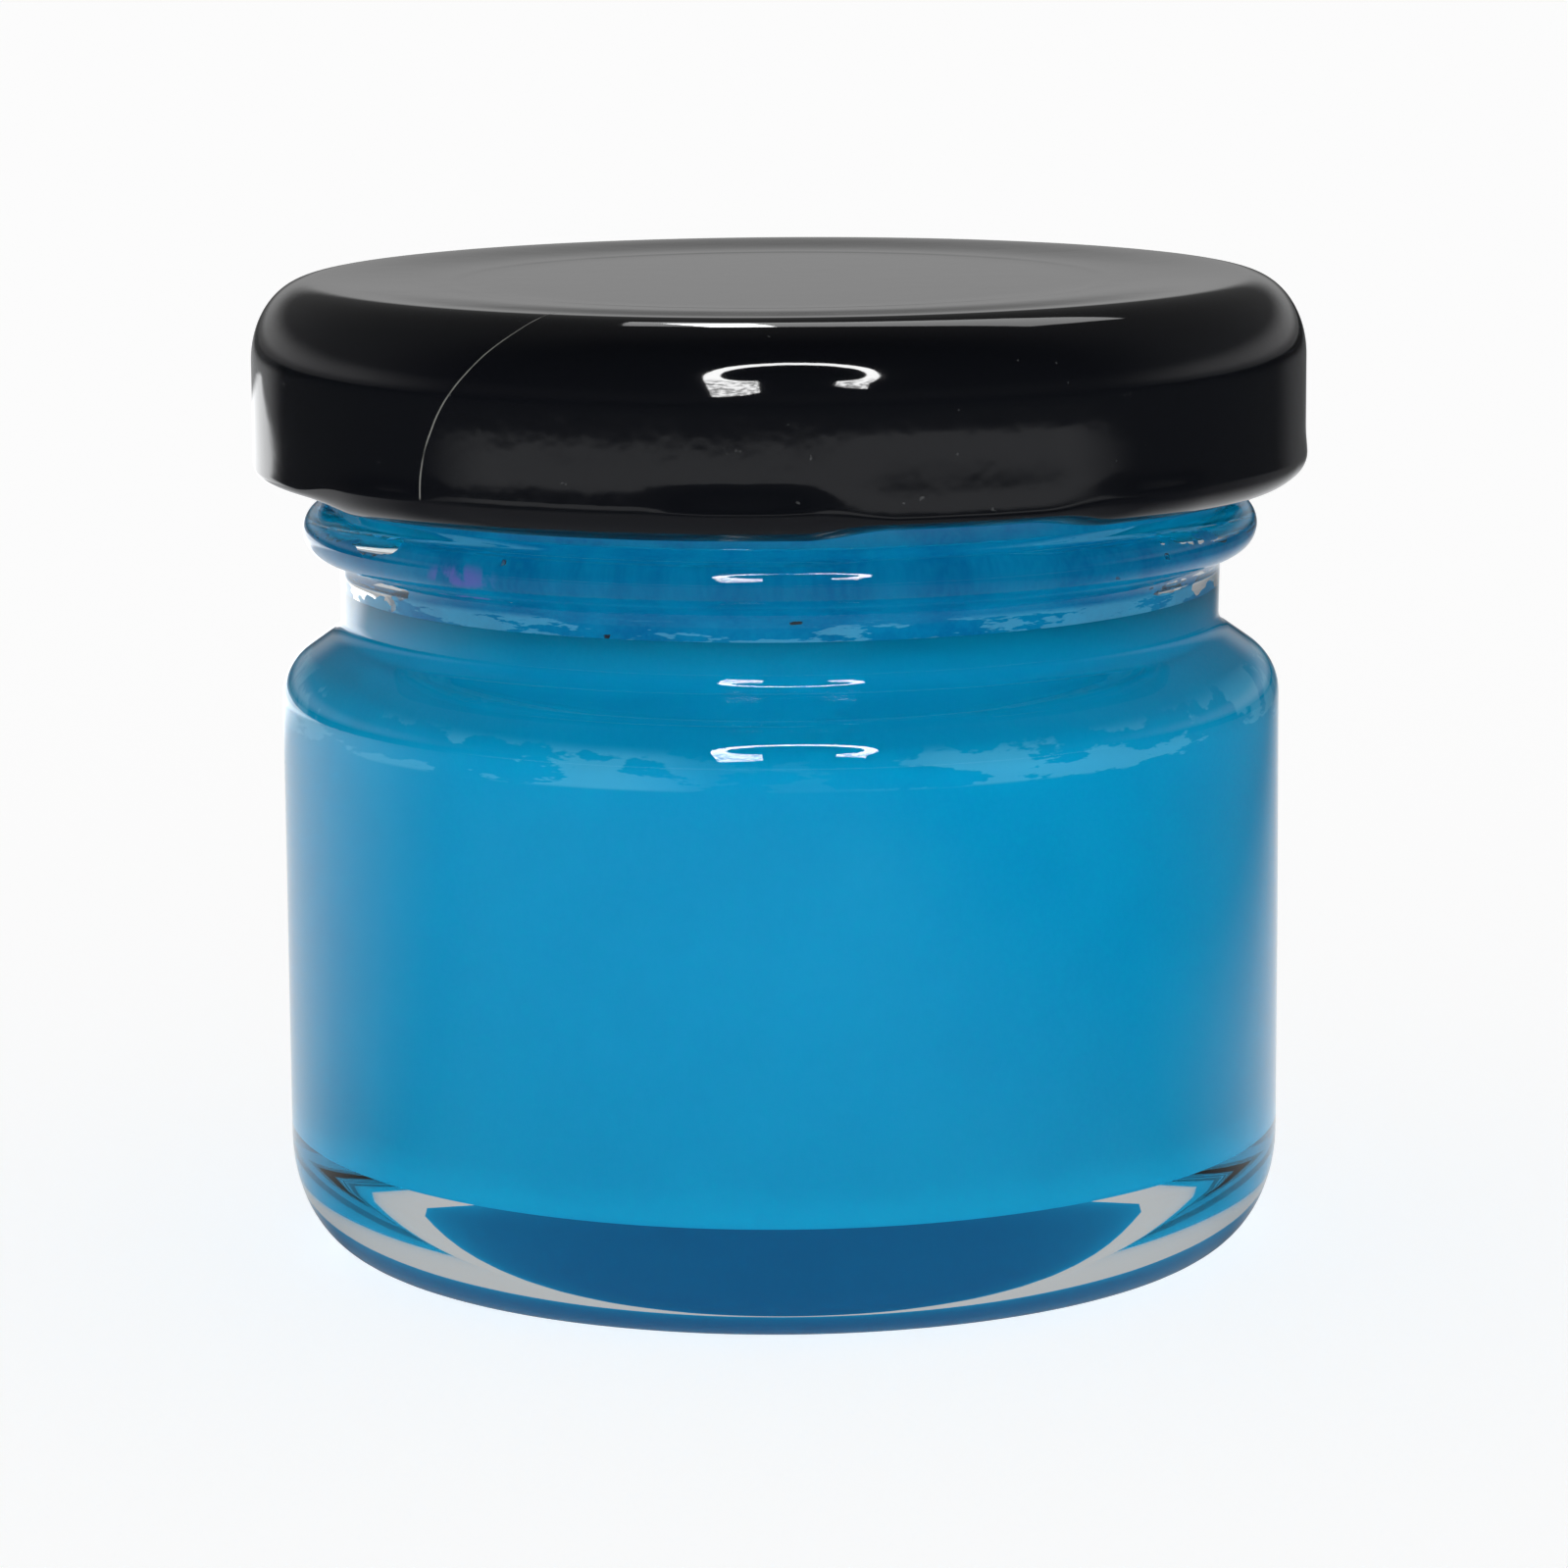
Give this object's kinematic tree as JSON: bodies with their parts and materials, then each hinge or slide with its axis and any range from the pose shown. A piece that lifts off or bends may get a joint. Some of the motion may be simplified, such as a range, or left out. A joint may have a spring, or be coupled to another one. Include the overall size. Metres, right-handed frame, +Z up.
{
  "type": "paint jar",
  "caption": "Small round glass paint jar with a black twist-off lug lid, a beaded neck and a fill of blue gel paint.",
  "frame": {"origin": "centre of the surface that the jar stands on", "axes": "+Z up through the middle of the lid, -Y the front, +X to the right seen from the front"},
  "size_m": [0.0464, 0.0464, 0.0427],
  "materials": {
    "glass": "polished",
    "paint": "gloss",
    "lid_lacquer": "gloss",
    "gasket": "satin"
  },
  "bodies": {
    "jar": {"glass_jar": "glass", "paint_fill": "paint", "paint_film": "paint"},
    "lid_seal": {"lid_gasket": "gasket"},
    "lid": {"lid_shell": "lid_lacquer"}
  },
  "joints": [
    {"name": "lid_lift", "type": "slide", "parent": "jar", "child": "lid_seal", "axis": [0, 0, 1], "range_m": [0, 0.025]},
    {"name": "lid_twist", "type": "hinge", "parent": "lid_seal", "child": "lid", "pos_m": [0, 0, 0], "axis": [0, 0, 1], "range_deg": [-45, 0]}
  ]
}
